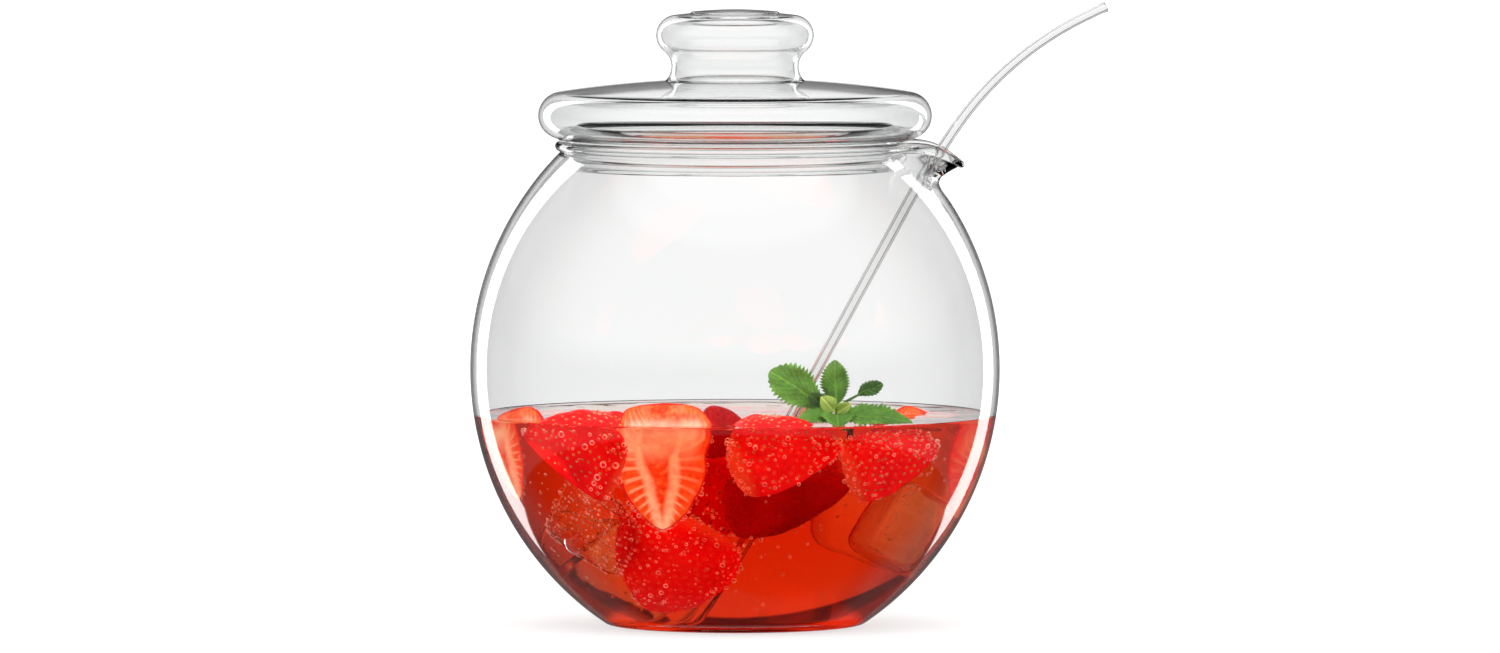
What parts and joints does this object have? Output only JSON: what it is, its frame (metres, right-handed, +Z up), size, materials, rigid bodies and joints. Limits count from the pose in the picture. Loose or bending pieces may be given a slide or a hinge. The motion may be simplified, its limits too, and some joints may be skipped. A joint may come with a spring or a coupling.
{
  "type": "punch bowl",
  "caption": "Round blown-glass punch bowl with a pouring lip, a hollow lid with a round knob, and a glass ladle that leans in the lip.",
  "frame": {"origin": "centre of the flat underside of the bowl's base", "axes": "+Z up along the bowl's axis, +X towards the pouring lip and the ladle's handle; the XZ plane is the plane of symmetry"},
  "size_m": [0.2811, 0.2332, 0.2749],
  "materials": {
    "bowl_glass": "clear, polished",
    "lid_glass": "clear, polished",
    "ladle_glass": "clear, polished"
  },
  "bodies": {
    "bowl": {"bowl": "bowl_glass"},
    "lid": {"lid": "lid_glass", "lid_knob": "lid_glass"},
    "ladle": {"ladle_handle": "ladle_glass", "ladle_cup": "ladle_glass"}
  },
  "joints": [
    {"name": "lid_lift", "type": "slide", "parent": "bowl", "child": "lid", "axis": [0, 0, 1], "range_m": [0, 0.1]},
    {"name": "ladle_lift", "type": "slide", "parent": "bowl", "child": "ladle", "axis": [0.4783, 0, 0.8782], "range_m": [0, 0.15]}
  ]
}
